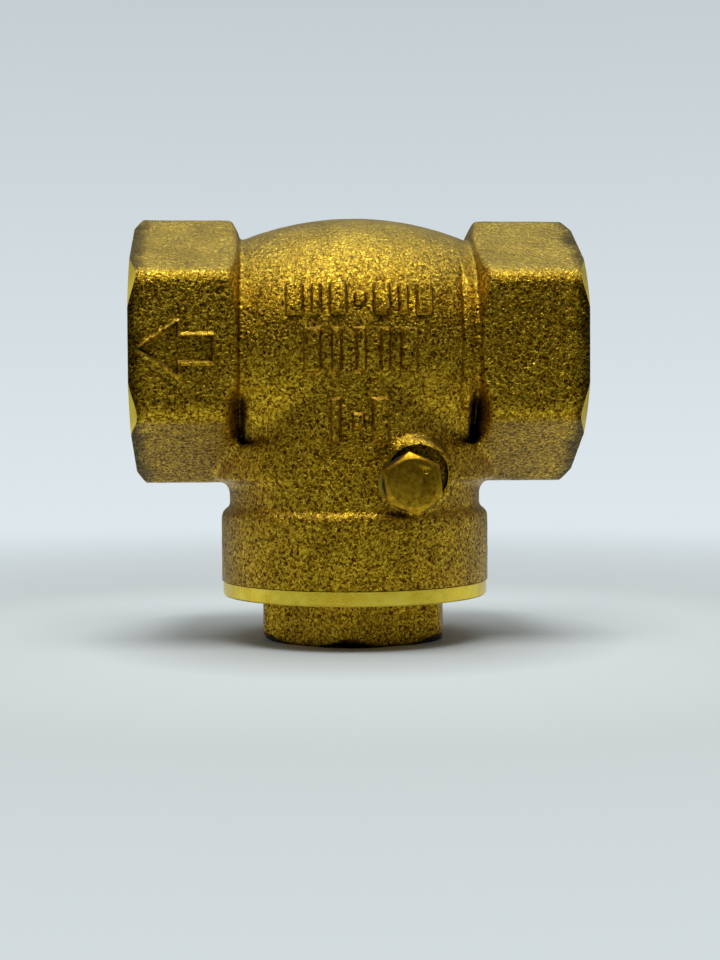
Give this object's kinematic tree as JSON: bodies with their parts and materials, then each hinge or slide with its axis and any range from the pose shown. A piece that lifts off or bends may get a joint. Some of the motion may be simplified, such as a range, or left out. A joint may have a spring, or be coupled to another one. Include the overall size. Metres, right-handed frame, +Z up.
{
  "type": "swing check valve",
  "caption": "Forged brass swing check valve with female-threaded hexagon ends, screwed cap, side pin plug and a hinged clapper with a rubber seal.",
  "frame": {"origin": "centre of the cap's resting face, which the valve stands on", "axes": "+Z up from the cap through the body, X along the pipe axis with the inlet at +X and the outlet at -X, Y along the hinge pin with its plug at -Y"},
  "size_m": [0.0464, 0.0309, 0.0451],
  "materials": {
    "forged_brass": "sandblasted forged brass, matt and grainy",
    "turned_brass": "turned brass, fine tool lines",
    "stainless_steel": "drawn stainless steel",
    "nitrile_rubber": "moulded matt",
    "gasket_fibre": "pressed fibre"
  },
  "bodies": {
    "valve": {"body": "forged_brass", "cap": "forged_brass", "cap_gasket": "gasket_fibre", "hinge_pin": "stainless_steel", "pin_plug": "turned_brass", "plug_gasket": "gasket_fibre"},
    "hanger": {"hanger": "forged_brass"},
    "disc": {"disc_holder": "turned_brass", "seat_disc": "nitrile_rubber", "seat_disc_washer": "turned_brass", "seat_disc_nut": "turned_brass", "hanger_washer": "stainless_steel", "hanger_nut": "turned_brass"}
  },
  "joints": [
    {"name": "hanger_swing", "type": "hinge", "parent": "valve", "child": "hanger", "pos_m": [0.00485, 0, 0.01705], "axis": [0, 1, 0], "range_deg": [0, 44]},
    {"name": "disc_turn", "type": "hinge", "parent": "hanger", "child": "disc", "pos_m": [-0.00625, 0, 0.02454], "axis": [0.5592, 0, 0.829], "continuous": true}
  ]
}
